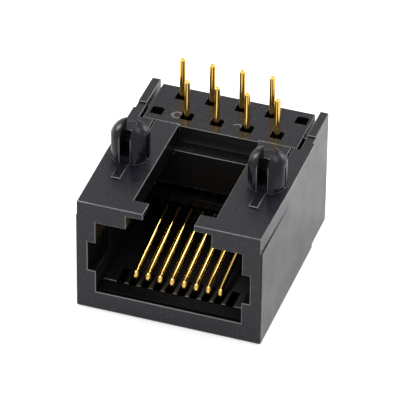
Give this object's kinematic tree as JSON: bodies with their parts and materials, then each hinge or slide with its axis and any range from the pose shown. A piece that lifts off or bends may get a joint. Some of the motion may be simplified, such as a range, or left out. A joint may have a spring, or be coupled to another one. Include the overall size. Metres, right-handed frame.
{
  "type": "modular jack",
  "caption": "Black right-angle modular jack with a latch window, slanted gold wire contacts, staggered solder tails and domed board pegs",
  "frame": {"origin": "middle of the flat resting face, at the bottom centre of the part's box", "axes": "+X across the width, +Y from the plug opening to the back, +Z from the resting face to the board side"},
  "size_m": [0.0154, 0.0176, 0.0141],
  "materials": {
    "housing_plastic": "black moulded thermoplastic with a fine satin grain and thin lit edges",
    "insert_plastic": "black moulded thermoplastic, a little darker than the housing",
    "contact_gold": "round wire plated with bright gold"
  },
  "bodies": {
    "root": {"housing": "housing_plastic", "contact_insert": "insert_plastic", "contact_1": "contact_gold", "contact_2": "contact_gold", "contact_3": "contact_gold", "contact_4": "contact_gold", "contact_5": "contact_gold", "contact_6": "contact_gold", "contact_7": "contact_gold", "contact_8": "contact_gold"}
  },
  "joints": []
}
